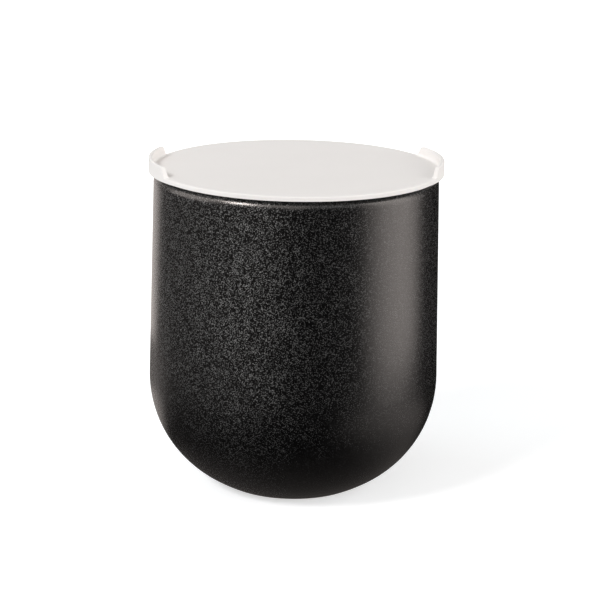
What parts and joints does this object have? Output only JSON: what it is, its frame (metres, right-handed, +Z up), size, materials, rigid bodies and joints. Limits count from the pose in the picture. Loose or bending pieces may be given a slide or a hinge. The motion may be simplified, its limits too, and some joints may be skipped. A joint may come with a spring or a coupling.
{
  "type": "storage canister",
  "caption": "Stoneware storage canister with a rounded base and straight sides, closed by a thin flat lid with upstanding finger lugs and a soft sealing ring.",
  "frame": {"origin": "middle of the foot's flat ring, on the surface where the pot stands", "axes": "+Z up along the pot's axis, X through the two finger lugs of the lid"},
  "size_m": [0.1238, 0.1232, 0.1412],
  "materials": {
    "glazed_stoneware": "satin black glaze with a fine grey speckle, bare clay on the foot",
    "lid_plastic": "matte warm white moulding",
    "ring_silicone": "soft translucent grey silicone"
  },
  "bodies": {
    "canister": {"canister": "glazed_stoneware"},
    "sealing_ring": {"sealing_ring": "ring_silicone"},
    "lid": {"lid": "lid_plastic"}
  },
  "joints": [
    {"name": "lid_lift", "type": "slide", "parent": "canister", "child": "sealing_ring", "axis": [0, 0, 1], "range_m": [0, 0.08]},
    {"name": "lid_turn", "type": "hinge", "parent": "sealing_ring", "child": "lid", "pos_m": [0, 0, 0.137], "axis": [0, 0, 1], "continuous": true}
  ]
}
